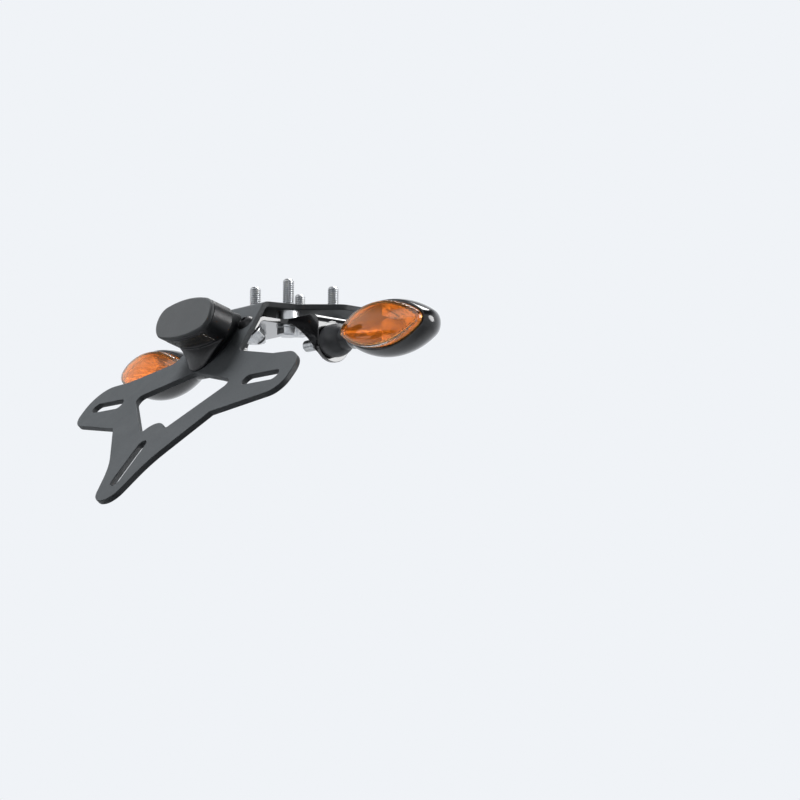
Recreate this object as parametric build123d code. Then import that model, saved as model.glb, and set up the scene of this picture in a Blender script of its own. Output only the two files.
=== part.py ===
from build123d import *
from math import cos, hypot, radians, sin, tan
import os

# Tail tidy: a folded hanger that carries a number plate under a motorbike's tail,
# with a plate light on its stem and a crossbar that holds two indicators.
# Millimetres and degrees. +X is the bike's right, +Y its front, +Z up.
# The origin is the middle of the four tail bolts, on the hanger's top face.

# Hanger: sheet, fold and top plate
SHEET = 3.0
FOLD_RADIUS = 3.0
PLATE_TILT = 38.5
MOUNT_TO_FOLD = 33.0
STEM_LENGTH = 62.6
FOLD_HALF_WIDTH = 17.5
TAIL_PITCH_X = 28.0
TAIL_PITCH_Y = 30.0
TAIL_BOLT_MARGIN = 7.5
WING_HALF_WIDTH = 37.5
WING_START = 3.0
FRONT_MARGIN = 13.0
TOP_PLATE_CORNER = 8.0

# Hanger: number-plate face, heights above the line of the ear slots
STEM_FOOT_HALF_WIDTH = 26.8
STEM_FOOT_HEIGHT = 25.2
STEM_FOOT_RADIUS = 6.0
SHOULDER_X = 61.0
SHOULDER_HEIGHT = 17.0
EAR_HALF_SPAN = 87.7
EAR_TOP = 15.0
EAR_TOP_RADIUS = 15.0
EAR_BOTTOM = 11.0
EAR_BOTTOM_RADIUS = 10.0
NOTCH_X = 41.5
NOTCH_DROP = 19.5
NOTCH_RADIUS = 1.5
TONGUE_BEND_X = 16.5
TONGUE_BEND_DROP = 48.8
TONGUE_BEND_RADIUS = 50.0
TONGUE_TIP_HALF_WIDTH = 7.7
TONGUE_LENGTH = 72.9
TONGUE_TIP_RADIUS = 10.0
SLOT_WIDTH = 6.5
EAR_SLOT_LENGTH = 27.0
EAR_SLOT_X = 65.0
TONGUE_SLOT_LENGTH = 30.0
TONGUE_SLOT_DROP = 48.3

# Window through the number-plate face
WINDOW_TOP = 14.0
WINDOW_TOP_RADIUS = 12.0
WINDOW_CORNER_X = 42.0
WINDOW_CORNER_HEIGHT = 2.1
WINDOW_CORNER_RADIUS = 3.5
WINDOW_FOOT_X = 11.5
WINDOW_FOOT_DROP = 25.5
WINDOW_FOOT_RADIUS = 1.5
BUMP_HALF_WIDTH = 8.5
BUMP_HEIGHT = 4.3

# Crossbar for the indicators, drops below the stem's fold
BAR_SHEET = 2.5
BAR_SPACER = 5.0
BAR_REAR = -19.5
BAR_WIDTH = 20.8
BAR_TONGUE_HALF_WIDTH = 19.2
BAR_TONGUE_DROP = 20.8
BAR_TONGUE_CORNER = 5.0
BAR_ARM_RADIUS = 4.0
BAR_BOLT_X = 14.6
BAR_BOLT_DROP = 15.7
TAB_OUTER_X = 44.0
WEB_START_X = 21.0
WEB_BULGE_X = 32.0
WEB_BULGE_DROP = 7.0
WEB_DROP = 16.0

# Plate light, its foot and screws at drops below the stem's fold
HEAD_TILT = 15.0
HEAD_CENTRE_Y = -71.4
HEAD_CENTRE_Z = -11.3
HEAD_HALF_WIDTH = 23.3
HEAD_HALF_HEIGHT = 10.8
HEAD_END_RADIUS = 9.0
HEAD_LENGTH = 14.0
CAP_THICKNESS = 2.4
CAP_CHAMFER = 0.7
NECK_HALF_WIDTH = 12.0
NECK_HALF_HEIGHT = 20.4
NECK_END_RADIUS = 9.0
NECK_CENTRE_DROP = 27.8
NECK_PEDESTAL = 1.2
LENS_LENGTH = 30.0
LENS_WIDTH = 8.4
LENS_THICKNESS = 2.0
LENS_SETBACK = 4.0
LENS_DROP = 9.6
LIGHT_LEDGE = 1.2
LIGHT_CAVITY = 4.2
BOARD_THICKNESS = 1.6
BOARD_GAP = 0.2
LED_SIZE = 3.0
LED_HEIGHT = 1.2
LED_PITCH = 8.0
LIGHT_SCREW_DROP = 15.6
LEAD_BORE_RADIUS = 2.0

# Cover over the leads, on the back of the stem, at drops below its fold
COVER_HALF_WIDTH = 10.0
COVER_TOP_DROP = 21.6
COVER_HEIGHT = 21.5
COVER_DEPTH = 6.4
COVER_WALL = 1.8
COVER_CORNER = 4.0
COVER_EDGE = 2.0
COVER_SCREW_DROP = 35.6
WIRE_HOLE_RADIUS = 3.0
WIRE_HOLE_DROP = 27.1
GROMMET_WIDTH = 10.4
GROMMET_HEIGHT = 2.8
GROMMET_FLANGE = 1.1
GROMMET_LIP = 0.6
GROMMET_EDGE = 0.5
GROMMET_WALL = 0.7

# Indicators: a pod through ovals at depths ahead of its rim, its belly hung low, lens to the rear
POD_X = 96.0
RIM_Y = -22.0
POD_Z = -22.0
POD_HALF_LENGTH = 29.6
POD_HALF_HEIGHT = 12.0
POD_TIP_RADIUS = 4.6
BULGE_DEPTH = 5.0
BULGE_HALF_LENGTH = 30.4
BULGE_HALF_HEIGHT = 13.6
BULGE_TIP_RADIUS = 6.5
BULGE_DROP = 0.9
TAPER_DEPTH = 16.0
TAPER_HALF_LENGTH = 24.0
TAPER_HALF_HEIGHT = 11.2
TAPER_TIP_RADIUS = 6.5
TAPER_DROP = 0.5
BODY_DEPTH = 25.0
NOSE_HALF_LENGTH = 9.0
NOSE_HALF_HEIGHT = 5.0
NOSE_TIP_RADIUS = 4.0
BODY_WALL = 1.8
LENS_LIP = 1.0
LENS_CREST = 8.0
LENS_EDGE = 2.2
LENS_CROWN_RADIUS = 17.0
AMBER_WALL = 1.8
REFLECTOR_DEPTH = 12.0
REFLECTOR_FOOT_HALF_LENGTH = 13.0
REFLECTOR_FOOT_HALF_HEIGHT = 7.0
REFLECTOR_FOOT_TIP_RADIUS = 4.6
REFLECTOR_WALL = 1.0
REFLECTOR_GAP = 0.3
BULB_RADIUS = 3.6
BULB_LENGTH = 9.0
BULB_DOME = 3.2
HOLDER_RADIUS = 4.4
HOLDER_LENGTH = 9.0
HOLDER_SINK = 2.0
HOLDER_FLANGE_RADIUS = 5.8
HOLDER_FLANGE = 1.2
STALK_Y = -11.0
STALK_BASE_RADIUS = 8.3
STALK_TIP_RADIUS = 5.6
STALK_FOOT = 2.0
STALK_DOME = 12.0
BOSS_X = 62.0
BOSS_RADIUS = 6.2
STUD_RADIUS = 3.0
STUD_BORE_RADIUS = 1.4
STUD_INNER_X = 24.5
STUD_OUTER_X = 74.0
STUD_WASHER_RADIUS = 5.5
STUD_WASHER = 1.0

# Fasteners: shank radius, washer and head sizes
M6 = 3.0
M5 = 2.5
M4 = 2.0
HOLE_CLEARANCE = 0.3
THREAD_CLEARANCE = 0.05
TAIL_BOLT_REACH = 14.0
TAIL_BOLT_POINT = 0.8
M6_THREAD = 2.8
M6_HEX = 10.0
M6_HEAD = 4.2
HEAD_CHAMFER = 0.8
M6_WASHER_RADIUS = 6.0
M6_WASHER = 1.2
M6_NUT = 5.0
M5_HEX = 8.0
M5_NUT = 5.0
M5_NUT_FLAT = 3.6
M5_COLLAR_RADIUS = 3.5
M5_BUTTON_RADIUS = 4.5
M5_BUTTON_TOP_RADIUS = 1.9
M5_BUTTON_DOME = 4.6
M5_BUTTON = 2.4
M5_SOCKET = 3.0
M5_SOCKET_DEPTH = 1.4
M5_WASHER_RADIUS = 4.8
M5_WASHER = 1.0
BOLT_TAIL = 1.5
M4_PAN_RADIUS = 3.6
M4_PAN = 2.4
M4_PAN_EDGE = 1.0
M4_BITE = 7.0

# Frames worked out from the sizes above
tilt = radians(PLATE_TILT)
fold_angle = 90.0 - PLATE_TILT
head_tilt = radians(HEAD_TILT)
plate_plane = Plane(
    origin=(0, -MOUNT_TO_FOLD - STEM_LENGTH * sin(tilt), -STEM_LENGTH * cos(tilt)),
    x_dir=(1, 0, 0),
    z_dir=(0, -cos(tilt), sin(tilt)),
)
stem_plane = Plane(origin=(0, -MOUNT_TO_FOLD, 0), x_dir=(1, 0, 0), z_dir=plate_plane.z_dir)
head_plane = Plane(
    origin=(0, HEAD_CENTRE_Y, HEAD_CENTRE_Z),
    x_dir=(1, 0, 0),
    z_dir=(0, -cos(head_tilt), sin(head_tilt)),
)
bar_top = -SHEET - BAR_SPACER
bar_bottom = bar_top - BAR_SHEET
bar_middle = BAR_REAR + BAR_WIDTH / 2
tail_points = [(x * TAIL_PITCH_X / 2, y * TAIL_PITCH_Y / 2) for x in (-1, 1) for y in (-1, 1)]
rear_tail_points = [p for p in tail_points if p[1] < 0]
front_tail_points = [p for p in tail_points if p[1] > 0]
bar_bolt_points = [(-BAR_BOLT_X, -BAR_BOLT_DROP), (BAR_BOLT_X, -BAR_BOLT_DROP)]
light_screw_points = [(0, -COVER_SCREW_DROP), (0, -LIGHT_SCREW_DROP)]
lens_seat = LENS_THICKNESS - LENS_DROP
grommet_plane = Plane(
    origin=(0, -COVER_TOP_DROP - COVER_HEIGHT, -SHEET - (COVER_DEPTH - COVER_WALL) / 2),
    x_dir=(1, 0, 0),
    z_dir=(0, -1, 0),
)
stalk_axis = Plane(origin=(0, STALK_Y, POD_Z), x_dir=(0, 1, 0), z_dir=(1, 0, 0))


def stem_point(x, y, out):
    """Point on the stem: across, up from its fold and out from its rear face."""
    return stem_plane.from_local_coords(Vector(x, y, out))


def stem_height_at(z, out):
    """Height up from the stem's fold of the level z, on a plane out from the rear face."""
    return (z - out * sin(tilt)) / cos(tilt)


def rounded(outline, corners):
    """Rounds the corners of a flat outline; each corner is x, y and its radius."""
    for x, y, radius in corners:
        corner = outline.vertices().sort_by_distance((x, y, 0))[0]
        outline = fillet(corner, radius)
    return outline


def mirrored_outline(points, corners):
    """Closes a right-hand outline with its mirror image and rounds the corners of both halves."""
    left = [(-x, y) for x, y in reversed(points) if x > 0]
    outline = make_face(Polyline(*points, *left, close=True))
    both = [(side * x, y, r) for x, y, r in corners for side in ((1,) if x == 0 else (1, -1))]
    return rounded(outline, both)


def oval(half_width, half_height, end_radius):
    """Four-arc oval; the end radius belongs to its narrow ends."""
    long, short = max(half_width, half_height), min(half_width, half_height)
    side_radius = (long**2 + short**2 - 2 * long * end_radius) / (2 * (short - end_radius))
    reach = hypot(long - end_radius, side_radius - short)
    along = long - end_radius + end_radius * (long - end_radius) / reach
    across = end_radius * (side_radius - short) / reach
    x, y = (along, across) if half_width > half_height else (across, along)
    return make_face(
        [
            ThreePointArc((x, -y), (half_width, 0), (x, y)),
            ThreePointArc((x, y), (0, half_height), (-x, y)),
            ThreePointArc((-x, y), (-half_width, 0), (-x, -y)),
            ThreePointArc((-x, -y), (0, -half_height), (x, -y)),
        ]
    )


def fold(half_width, sheet, outer_corner_y, top):
    """Curved strip that joins a level sheet to one parallel to the stem."""
    radius = FOLD_RADIUS + sheet
    start_y = outer_corner_y + radius * tan(radians(fold_angle / 2))
    section = Plane(origin=(0, start_y, top - sheet / 2), x_dir=(1, 0, 0), z_dir=(0, -1, 0))
    strip = section * Rectangle(2 * half_width, sheet)
    axis = Axis((0, start_y, top - radius), (1, 0, 0))
    return revolve(strip, axis=axis, revolution_arc=fold_angle)


def fold_setback(sheet):
    """Distance from a fold's outer corner to where its flat sheet begins."""
    return (FOLD_RADIUS + sheet) * tan(radians(fold_angle / 2))


def hex_prism(across_flats, height):
    """Hexagon nut or head standing on the local XY plane, flats facing local Y."""
    return extrude(RegularPolygon(across_flats / 2, 6, major_radius=False), height)


def ring(outer_radius, inner_radius, height):
    """Washer, spacer or tube standing on the local XY plane."""
    return extrude(Circle(outer_radius) - Circle(inner_radius), height)


def ahead_of_rim(depth):
    """Plane across the right pod, parallel to its rim and ahead of it by the depth."""
    return Plane(origin=(POD_X, RIM_Y + depth, POD_Z), x_dir=(1, 0, 0), z_dir=(0, -1, 0))


def behind_foot(distance):
    """Plane parallel to the foot of the right reflector, behind it towards the lens."""
    return ahead_of_rim(REFLECTOR_DEPTH).offset(distance)


def along_stalk(x, shape):
    """Stands a shape on the stalk's axis, its base at the given X."""
    return stalk_axis * (Pos(0, 0, x) * shape)


def plate_hanger():
    """Number-plate face, stem, fold and top plate in one folded sheet."""
    stem_top = STEM_LENGTH - fold_setback(SHEET)
    face = mirrored_outline(
        [
            (0, stem_top),
            (FOLD_HALF_WIDTH, stem_top),
            (STEM_FOOT_HALF_WIDTH, STEM_FOOT_HEIGHT),
            (SHOULDER_X, SHOULDER_HEIGHT),
            (EAR_HALF_SPAN, EAR_TOP),
            (EAR_HALF_SPAN, -EAR_BOTTOM),
            (NOTCH_X, -NOTCH_DROP),
            (TONGUE_BEND_X, -TONGUE_BEND_DROP),
            (TONGUE_TIP_HALF_WIDTH, -TONGUE_LENGTH),
        ],
        [
            (STEM_FOOT_HALF_WIDTH, STEM_FOOT_HEIGHT, STEM_FOOT_RADIUS),
            (EAR_HALF_SPAN, EAR_TOP, EAR_TOP_RADIUS),
            (EAR_HALF_SPAN, -EAR_BOTTOM, EAR_BOTTOM_RADIUS),
            (NOTCH_X, -NOTCH_DROP, NOTCH_RADIUS),
            (TONGUE_BEND_X, -TONGUE_BEND_DROP, TONGUE_BEND_RADIUS),
            (TONGUE_TIP_HALF_WIDTH, -TONGUE_LENGTH, TONGUE_TIP_RADIUS),
        ],
    )
    window = mirrored_outline(
        [
            (0, WINDOW_TOP),
            (WINDOW_CORNER_X, WINDOW_CORNER_HEIGHT),
            (WINDOW_FOOT_X, -WINDOW_FOOT_DROP),
        ],
        [
            (0, WINDOW_TOP, WINDOW_TOP_RADIUS),
            (WINDOW_CORNER_X, WINDOW_CORNER_HEIGHT, WINDOW_CORNER_RADIUS),
            (WINDOW_FOOT_X, -WINDOW_FOOT_DROP, WINDOW_FOOT_RADIUS),
        ],
    )
    bump_radius = (BUMP_HALF_WIDTH**2 + BUMP_HEIGHT**2) / (2 * BUMP_HEIGHT)
    bump_centre = -WINDOW_FOOT_DROP + BUMP_HEIGHT - bump_radius
    face -= window - Pos(0, bump_centre) * Circle(bump_radius)
    for side in (-1, 1):
        face -= Pos(side * EAR_SLOT_X, 0) * SlotOverall(EAR_SLOT_LENGTH, SLOT_WIDTH)
    face -= Pos(0, -TONGUE_SLOT_DROP) * SlotOverall(TONGUE_SLOT_LENGTH, SLOT_WIDTH, rotation=90)
    for x, y in bar_bolt_points:
        face -= Pos(x, STEM_LENGTH + y) * Circle(M5 + HOLE_CLEARANCE)
    for x, y in light_screw_points:
        face -= Pos(x, STEM_LENGTH + y) * Circle(M4 + HOLE_CLEARANCE)
    face -= Pos(0, STEM_LENGTH - WIRE_HOLE_DROP) * Circle(WIRE_HOLE_RADIUS)

    rear = -MOUNT_TO_FOLD + fold_setback(SHEET)
    waist = TAIL_PITCH_X / 2 + TAIL_BOLT_MARGIN
    front = TAIL_PITCH_Y / 2 + FRONT_MARGIN
    top = mirrored_outline(
        [
            (0, rear),
            (FOLD_HALF_WIDTH, rear),
            (waist, -TAIL_PITCH_Y / 2),
            (WING_HALF_WIDTH, WING_START),
            (WING_HALF_WIDTH, front),
        ],
        [
            (waist, -TAIL_PITCH_Y / 2, TOP_PLATE_CORNER),
            (WING_HALF_WIDTH, WING_START, TOP_PLATE_CORNER),
            (WING_HALF_WIDTH, front, TOP_PLATE_CORNER),
        ],
    )
    for x, y in tail_points:
        top -= Pos(x, y) * Circle(M6 + HOLE_CLEARANCE)

    face_sheet = extrude(plate_plane * face, -SHEET)
    top_sheet = extrude(top, -SHEET)
    return face_sheet + fold(FOLD_HALF_WIDTH, SHEET, -MOUNT_TO_FOLD, 0) + top_sheet


def indicator_crossbar():
    """Folded bar: tongue against the stem, strip under the top plate, webs and end tabs."""
    setback = fold_setback(BAR_SHEET)
    corner_height = stem_height_at(bar_top, -SHEET)
    corner_y = stem_point(0, corner_height, -SHEET).Y
    strip_rear = corner_y + setback
    tab_fold_radius = FOLD_RADIUS + BAR_SHEET
    tab_inner = TAB_OUTER_X - BAR_SHEET
    arm_end = TAB_OUTER_X - tab_fold_radius

    tongue = mirrored_outline(
        [
            (0, corner_height - setback),
            (FOLD_HALF_WIDTH, corner_height - setback),
            (BAR_TONGUE_HALF_WIDTH, -BAR_TONGUE_DROP),
        ],
        [(BAR_TONGUE_HALF_WIDTH, -BAR_TONGUE_DROP, BAR_TONGUE_CORNER)],
    )
    for x, y in bar_bolt_points:
        tongue -= Pos(x, y) * Circle(M5 + HOLE_CLEARANCE)
    tongue -= Pos(0, -LIGHT_SCREW_DROP) * Circle(M4 + HOLE_CLEARANCE)

    strip = mirrored_outline(
        [
            (0, strip_rear),
            (FOLD_HALF_WIDTH, strip_rear),
            (FOLD_HALF_WIDTH, BAR_REAR),
            (arm_end, BAR_REAR),
            (arm_end, BAR_REAR + BAR_WIDTH),
        ],
        [(FOLD_HALF_WIDTH, BAR_REAR, BAR_ARM_RADIUS)],
    )
    for x, y in rear_tail_points:
        strip -= Pos(x, y) * Circle(M6 + HOLE_CLEARANCE)

    bar = extrude(stem_plane.offset(-SHEET) * tongue, -BAR_SHEET)
    bar += fold(FOLD_HALF_WIDTH, BAR_SHEET, corner_y, bar_top)
    bar += extrude(Pos(0, 0, bar_top) * strip, -BAR_SHEET)

    web = make_face(
        [
            ThreePointArc(
                (WEB_START_X, bar_bottom),
                (WEB_BULGE_X, bar_bottom - WEB_BULGE_DROP),
                (tab_inner, bar_bottom - WEB_DROP),
            ),
            Line((tab_inner, bar_bottom - WEB_DROP), (tab_inner, bar_bottom)),
            Line((tab_inner, bar_bottom), (WEB_START_X, bar_bottom)),
        ]
    )
    web_plane = Plane(origin=(0, BAR_REAR, 0), x_dir=(1, 0, 0), z_dir=(0, -1, 0))
    side = extrude(web_plane * web, -BAR_SHEET)

    tab_top = bar_top - tab_fold_radius
    tab_plane = Plane(origin=(TAB_OUTER_X, bar_middle, POD_Z), x_dir=(0, 1, 0), z_dir=(1, 0, 0))
    tab_height = tab_top - POD_Z
    tab = Circle(BAR_WIDTH / 2) + Pos(0, tab_height / 2) * Rectangle(BAR_WIDTH, tab_height)
    tab -= Pos(STALK_Y - bar_middle, 0) * Circle(STUD_RADIUS + HOLE_CLEARANCE)
    side += extrude(tab_plane * tab, -BAR_SHEET)
    knee_section = Plane(
        origin=(arm_end, bar_middle, bar_top - BAR_SHEET / 2), x_dir=(0, 1, 0), z_dir=(1, 0, 0)
    )
    knee = knee_section * Rectangle(BAR_WIDTH, BAR_SHEET)
    side += revolve(knee, axis=Axis((arm_end, 0, tab_top), (0, 1, 0)), revolution_arc=90)
    return bar + side + mirror(side, Plane.YZ)


def crossbar_bolts():
    """Button-head bolts, heads on the stem's front face."""
    reach = SHEET + BAR_SHEET + M5_WASHER + M5_NUT + BOLT_TAIL
    head = revolve(
        make_face(
            [
                Line((0, 0), (M5_BUTTON_RADIUS, 0)),
                RadiusArc((M5_BUTTON_RADIUS, 0), (M5_BUTTON_TOP_RADIUS, M5_BUTTON), -M5_BUTTON_DOME),
                Line((M5_BUTTON_TOP_RADIUS, M5_BUTTON), (0, M5_BUTTON)),
                Line((0, M5_BUTTON), (0, 0)),
            ]
        ),
        axis=Axis.Y,
    )
    head = Rot(90, 0, 0) * head
    head -= Pos(0, 0, M5_BUTTON - M5_SOCKET_DEPTH) * hex_prism(M5_SOCKET, M5_SOCKET_DEPTH)
    bolt = head + extrude(Circle(M5), -reach)
    return [stem_plane * (Pos(x, y) * bolt) for x, y in bar_bolt_points]


def crossbar_washers():
    """Plain washers behind the crossbar's tongue."""
    washer = ring(M5_WASHER_RADIUS, M5 + HOLE_CLEARANCE, -M5_WASHER)
    return [stem_plane.offset(-SHEET - BAR_SHEET) * (Pos(x, y) * washer) for x, y in bar_bolt_points]


def crossbar_nuts():
    """Lock nuts: a hexagon with a round collar on its free side."""
    nut = hex_prism(M5_HEX, -M5_NUT_FLAT) + extrude(Circle(M5_COLLAR_RADIUS), -M5_NUT)
    nut -= extrude(Circle(M5 + THREAD_CLEARANCE), -M5_NUT)
    seat = stem_plane.offset(-SHEET - BAR_SHEET - M5_WASHER)
    return [seat * (Pos(x, y) * nut) for x, y in bar_bolt_points]


def crossbar_spacers():
    """Spacers between the crossbar and the top plate."""
    spacer = ring(M6_WASHER_RADIUS, M6 + HOLE_CLEARANCE, BAR_SPACER)
    return [Pos(x, y, bar_top) * spacer for x, y in rear_tail_points]


def tail_washers():
    """Washers under the heads of the four tail bolts."""
    washer = ring(M6_WASHER_RADIUS, M6 + HOLE_CLEARANCE, -M6_WASHER)
    rear = [Pos(x, y, bar_bottom) * washer for x, y in rear_tail_points]
    return rear + [Pos(x, y, -SHEET) * washer for x, y in front_tail_points]


def tail_bolts():
    """Hexagon bolts that stand up through the top plate; the rear pair also holds the crossbar."""

    def bolt(seat):
        head = chamfer(hex_prism(M6_HEX, -M6_HEAD).edges().group_by(Axis.Z)[0], HEAD_CHAMFER)
        grip = extrude(Circle(M6), -seat)
        thread = Pos(0, 0, -seat) * extrude(Circle(M6_THREAD), TAIL_BOLT_REACH)
        thread = chamfer(thread.edges().group_by(Axis.Z)[-1], TAIL_BOLT_POINT)
        return Pos(0, 0, seat) * (head + grip + thread)

    rear = [Pos(x, y) * bolt(bar_bottom - M6_WASHER) for x, y in rear_tail_points]
    return rear + [Pos(x, y) * bolt(-SHEET - M6_WASHER) for x, y in front_tail_points]


def light_lens_box(margin, depth, top):
    """Block in the light's underside, drawn in by a margin from the lens, below a given height."""
    width = LENS_WIDTH - 2 * margin
    block = Box(LENS_LENGTH - 2 * margin, depth, width)
    centre_z = -LENS_SETBACK - LENS_WIDTH / 2
    return head_plane * (Pos(0, top - depth / 2, centre_z) * block)


def light_housing():
    """Moulded head with a neck that flares down to its oval foot on the stem."""
    head_section = oval(HEAD_HALF_WIDTH, HEAD_HALF_HEIGHT, HEAD_END_RADIUS)
    foot = Pos(0, -NECK_CENTRE_DROP) * oval(NECK_HALF_WIDTH, NECK_HALF_HEIGHT, NECK_END_RADIUS)
    head = extrude(head_plane.offset(-CAP_THICKNESS) * head_section, CAP_THICKNESS - HEAD_LENGTH)
    neck = loft(
        [
            head_plane.offset(-HEAD_LENGTH) * head_section,
            stem_plane.offset(NECK_PEDESTAL) * foot,
        ]
    )
    pedestal = extrude(stem_plane * foot, NECK_PEDESTAL)
    housing = head + neck + pedestal

    housing -= light_lens_box(0, HEAD_HALF_HEIGHT, lens_seat)
    housing -= light_lens_box(LIGHT_LEDGE, LIGHT_CAVITY, lens_seat + LIGHT_CAVITY)
    inlet = stem_point(0, -WIRE_HOLE_DROP, 0)
    inlet_local = head_plane.to_local_coords(inlet)
    bore_length = -inlet_local.Z - LENS_SETBACK - LENS_WIDTH / 2
    bore = Pos(inlet_local.X, inlet_local.Y, inlet_local.Z) * extrude(
        Circle(LEAD_BORE_RADIUS), bore_length
    )
    housing -= head_plane * bore
    for x, y in light_screw_points:
        housing -= stem_plane * (Pos(x, y) * extrude(Circle(M4 + THREAD_CLEARANCE), M4_BITE))
    return housing


def light_end_cap():
    """Plain oval cap on the head's end, with a chamfered edge."""
    cap = extrude(oval(HEAD_HALF_WIDTH, HEAD_HALF_HEIGHT, HEAD_END_RADIUS), -CAP_THICKNESS)
    return head_plane * chamfer(cap.faces().sort_by(Axis.Z)[-1].edges(), CAP_CHAMFER)


def light_lens():
    """Clear strip that closes the pocket in the light's underside."""
    return light_lens_box(0, LENS_THICKNESS, lens_seat)


def light_board():
    """Circuit board on the roof of the pocket."""
    return light_lens_box(LIGHT_LEDGE + BOARD_GAP, BOARD_THICKNESS, lens_seat + LIGHT_CAVITY)


def light_leds():
    """Three emitters in a row under the board."""
    top = lens_seat + LIGHT_CAVITY - BOARD_THICKNESS
    centre_z = -LENS_SETBACK - LENS_WIDTH / 2
    led = Box(LED_SIZE, LED_HEIGHT, LED_SIZE)
    return [head_plane * (Pos(i * LED_PITCH, top - LED_HEIGHT / 2, centre_z) * led) for i in (-1, 0, 1)]


def light_screws():
    """Pan-head screws into the housing, one through the cover and one through the crossbar's tongue."""
    screws = []
    for (x, y), seat in zip(light_screw_points, (-SHEET - COVER_DEPTH, -SHEET - BAR_SHEET)):
        head = extrude(Circle(M4_PAN_RADIUS), -M4_PAN)
        head = fillet(head.edges().group_by(Axis.Z)[0], M4_PAN_EDGE)
        shank = extrude(Circle(M4), M4_BITE - seat)
        screws.append(stem_plane * (Pos(x, y, seat) * (head + shank)))
    return screws


def wiring_cover():
    """Shallow cover for the leads, with a post for its screw and a hole for the grommet."""
    centre = Pos(0, -COVER_TOP_DROP - COVER_HEIGHT / 2, -SHEET)
    block = extrude(RectangleRounded(2 * COVER_HALF_WIDTH, COVER_HEIGHT, COVER_CORNER), -COVER_DEPTH)
    block = fillet(block.faces().sort_by(Axis.Z)[0].edges(), COVER_EDGE)
    inside = extrude(
        RectangleRounded(
            2 * (COVER_HALF_WIDTH - COVER_WALL), COVER_HEIGHT - 2 * COVER_WALL, COVER_CORNER - COVER_WALL
        ),
        COVER_WALL - COVER_DEPTH,
    )
    cover = centre * (block - inside)
    post = Pos(0, -COVER_SCREW_DROP, -SHEET)
    cover += post * extrude(Circle(M4 + HOLE_CLEARANCE + COVER_WALL), -COVER_DEPTH)
    cover -= post * extrude(Circle(M4 + HOLE_CLEARANCE), -COVER_DEPTH)
    cover -= grommet_plane * extrude(SlotOverall(GROMMET_WIDTH, GROMMET_HEIGHT), -COVER_WALL)
    return stem_plane * cover


def wiring_grommet():
    """Flat oval grommet in the cover's lower wall, with a flange on each side."""
    flange = SlotOverall(GROMMET_WIDTH + 2 * GROMMET_LIP, GROMMET_HEIGHT + 2 * GROMMET_LIP)
    bore = SlotOverall(GROMMET_WIDTH - 2 * GROMMET_WALL, GROMMET_HEIGHT - 2 * GROMMET_WALL)
    outer = extrude(flange, GROMMET_FLANGE)
    outer = fillet(outer.edges().group_by(Axis.Z)[-1], GROMMET_EDGE)
    neck = extrude(SlotOverall(GROMMET_WIDTH, GROMMET_HEIGHT), -COVER_WALL)
    inner = Pos(0, 0, -COVER_WALL) * extrude(flange, -GROMMET_FLANGE)
    hole = Pos(0, 0, GROMMET_FLANGE) * extrude(bore, -COVER_WALL - 2 * GROMMET_FLANGE)
    return stem_plane * (grommet_plane * (outer + neck + inner - hole))


def pod_section(depth, half_length, half_height, tip_radius, inset, drop=0):
    """Oval across the right pod at a depth ahead of its rim, drawn in evenly by the inset."""
    section = oval(half_length - inset, half_height - inset, tip_radius - inset)
    return ahead_of_rim(depth) * (Pos(0, -drop) * section)


def pod(inset):
    """Solid pod drawn in by the inset at its sections and its nose."""
    return loft(
        [
            pod_section(0, POD_HALF_LENGTH, POD_HALF_HEIGHT, POD_TIP_RADIUS, inset),
            pod_section(
                BULGE_DEPTH, BULGE_HALF_LENGTH, BULGE_HALF_HEIGHT, BULGE_TIP_RADIUS, inset, BULGE_DROP
            ),
            pod_section(
                TAPER_DEPTH, TAPER_HALF_LENGTH, TAPER_HALF_HEIGHT, TAPER_TIP_RADIUS, inset, TAPER_DROP
            ),
            pod_section(BODY_DEPTH - inset, NOSE_HALF_LENGTH, NOSE_HALF_HEIGHT, NOSE_TIP_RADIUS, inset),
        ]
    )


def indicator_body():
    """Hollow shell, fullest just ahead of its rim, with a boss for the stalk."""
    boss = along_stalk(BOSS_X, extrude(Circle(BOSS_RADIUS), POD_X - BOSS_X))
    shell = pod(0) + boss - pod(BODY_WALL)
    return shell - along_stalk(BOSS_X, extrude(Circle(STUD_RADIUS + THREAD_CLEARANCE), POD_X - BOSS_X))


def lens_block(inset):
    """Oval block behind the rim with a crowned face, drawn in by the inset."""
    crown_axis = LENS_CROWN_RADIUS - LENS_CREST
    crest = LENS_CROWN_RADIUS - inset
    edge = crown_axis + LENS_EDGE - inset
    crown = make_face(
        [
            ThreePointArc((-POD_HALF_LENGTH, edge), (0, crest), (POD_HALF_LENGTH, edge)),
            Line((POD_HALF_LENGTH, edge), (POD_HALF_LENGTH, 0)),
            Line((POD_HALF_LENGTH, 0), (-POD_HALF_LENGTH, 0)),
            Line((-POD_HALF_LENGTH, 0), (-POD_HALF_LENGTH, edge)),
        ]
    )
    crown = revolve(crown, axis=Axis.X)
    outline = pod_section(0, POD_HALF_LENGTH, POD_HALF_HEIGHT, POD_TIP_RADIUS, LENS_LIP + inset)
    return extrude(outline, LENS_CREST) & (Pos(POD_X, RIM_Y + crown_axis, POD_Z) * crown)


def indicator_lens():
    """Amber lens, a hollow crowned oval that sits on the body's rim."""
    return lens_block(0) - lens_block(AMBER_WALL)


def reflector_cone(inset):
    """Solid that tapers from inside the body's rim to the reflector's foot, drawn in by the inset."""
    rim_inset = BODY_WALL + REFLECTOR_GAP + inset
    return loft(
        [
            pod_section(0, POD_HALF_LENGTH, POD_HALF_HEIGHT, POD_TIP_RADIUS, rim_inset),
            pod_section(
                REFLECTOR_DEPTH - inset,
                REFLECTOR_FOOT_HALF_LENGTH,
                REFLECTOR_FOOT_HALF_HEIGHT,
                REFLECTOR_FOOT_TIP_RADIUS,
                inset,
            ),
        ]
    )


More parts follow.
